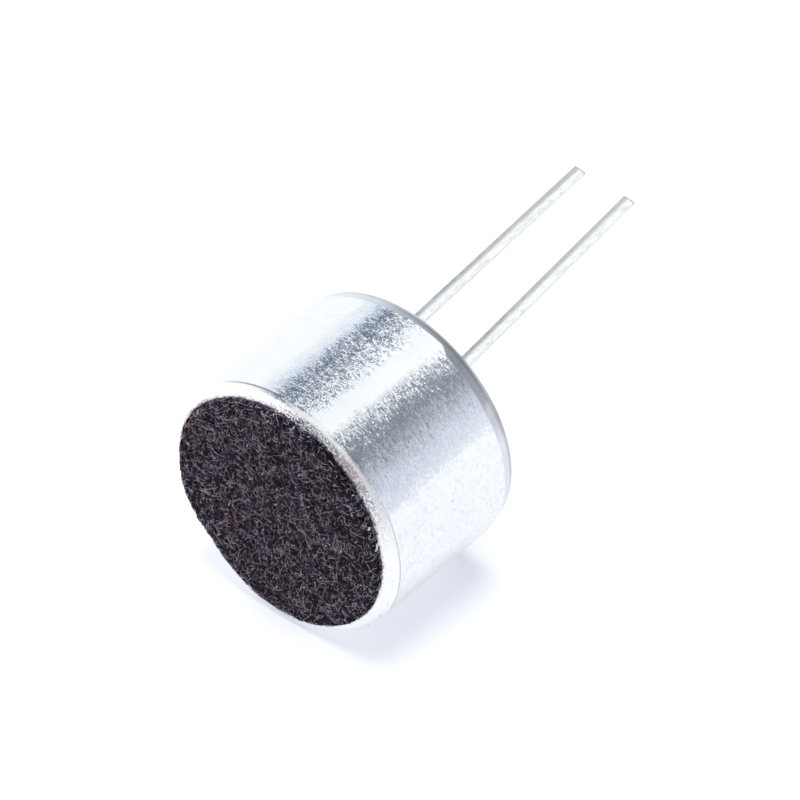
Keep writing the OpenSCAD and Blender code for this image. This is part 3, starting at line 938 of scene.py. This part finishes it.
def add_tube(points, faces, path, width):
    """Adds a thin closed tube along a path of points and normals."""
    start = len(points)
    last = len(path) - 1
    end = start + last * FIBRE_SIDES
    for index, (point, above) in enumerate(path):
        ahead = path[min(index + 1, last)][0] - path[max(index - 1, 0)][0]
        side = ahead.cross(above).normalized()
        for corner in range(FIBRE_SIDES):
            angle = 2 * math.pi * corner / FIBRE_SIDES
            points.append(point + (side * math.cos(angle) + above * math.sin(angle)) * width / 2)
    for ring in range(start, end, FIBRE_SIDES):
        for corner in range(FIBRE_SIDES):
            a, b = ring + corner, ring + (corner + 1) % FIBRE_SIDES
            faces.append((a, b, b + FIBRE_SIDES, a + FIBRE_SIDES))
    faces.append(tuple(start + corner for corner in reversed(range(FIBRE_SIDES))))
    faces.append(tuple(end + corner for corner in range(FIBRE_SIDES)))


def fibres(name, material, count, seed, lengths, rises, width):
    """One piece of many separate fibres."""
    generator = random.Random(seed)
    lengths = [length * MM for length in lengths]
    rises = [rise * MM for rise in rises]
    points, faces = [], []
    for _ in range(count):
        path = fibre_path(generator, generator.uniform(*lengths), generator.uniform(*rises))
        add_tube(points, faces, path, width * MM)
    add_piece(name, points, faces, material)


# Fuzz at the felt's edge

FUZZ_SEED = 14
FUZZ_COUNT = 560
FUZZ_FROM = math.radians(-105)
FUZZ_TO = math.radians(15)
FUZZ_ROOT = 0.2 * MM
FUZZ_REACH = 0.17 * MM
FUZZ_SLANT = 0.6
FUZZ_WIDTH = 0.016 * MM
FUZZ_POINTS = 4


def fuzz(material):
    """Loose fibres that reach out over the can from the felt's upper left edge."""
    generator = random.Random(FUZZ_SEED)
    ahead = Vector((0, -1, 0))
    points, faces = [], []
    for _ in range(FUZZ_COUNT):
        turn = generator.uniform(FUZZ_FROM, FUZZ_TO)
        length = FUZZ_ROOT + generator.random() ** 2 * FUZZ_REACH
        slant = generator.gauss(0, FUZZ_SLANT)
        outward = Vector((math.sin(turn), 0, math.cos(turn)))
        sideways = Vector((math.cos(turn), 0, -math.sin(turn)))
        root = Vector((FELT_X, FELT_FRONT + FELT_EDGE / 2, FELT_Z))
        root += outward * (float(felt_limit(turn)) - FUZZ_ROOT)
        reach = (outward * math.cos(slant) + sideways * math.sin(slant)) * length
        reach.y = CAN_FRONT - FIBRE_SINK - root.y
        steps = range(FUZZ_POINTS)
        path = [(root + reach * step / (FUZZ_POINTS - 1), ahead) for step in steps]
        add_tube(points, faces, path, FUZZ_WIDTH)
    add_piece("felt_fuzz", points, faces, material)


# Lint at the felt's edge

LINT_RISE = 0.09 * MM
LINT_WIDTH = 0.08 * MM
# The two ends of each bit: degrees from overhead towards +X, and millimetres past the felt's outline
LINT = [((65.5, 0.0), (64.5, 0.05)), ((77.5, 0.04), (74.5, 0.15))]


def lint(material):
    """White bits that cling to the felt's edge."""
    points, faces = [], []
    for ends in LINT:
        path = []
        for degrees, past in ends:
            turn = math.radians(degrees)
            reach = float(felt_limit(turn)) + past * MM
            path.append(on_felt(reach * math.sin(turn), reach * math.cos(turn), LINT_RISE))
        (first, above), (second, _) = path
        middle = (first + second) / 2 + above * LINT_RISE / 2
        path.insert(1, (middle, above))
        add_tube(points, faces, path, LINT_WIDTH)
    add_piece("felt_lint", points, faces, material)


def add_felt(material):
    """The pad, its fibres from the deepest to the topmost, its fuzz and its lint."""
    felt_pad(material)
    dark, grey, light = (
        fibre_material("felt_fibre_" + kind, *tones) for kind, tones in FIBRE_TONES.items()
    )
    white = mottled("felt_lint", *LINT_FINISH)
    fibres("felt_fibres_dark", dark, *FIBRES_DARK)
    fibres("felt_fibres_grey", grey, *FIBRES_GREY)
    fibres("felt_fibres_light", light, *FIBRES_LIGHT)
    fibres("felt_fibres_long", light, *FIBRES_LONG)
    fibres("felt_specks", white, *SPECKS)
    fuzz(grey)
    lint(white)


# Dressing

add_camera()
add_floor()
add_world()
add_lamp()

finishes = all_materials()
for subpart in frame["record"]["subparts"]:
    mesh = nodes[subpart["node"]].data
    mesh.materials.clear()
    mesh.materials.append(finishes[subpart["material_slot"]])
add_felt(finishes["felt"])

bpy.context.scene.view_settings.view_transform = "Standard"
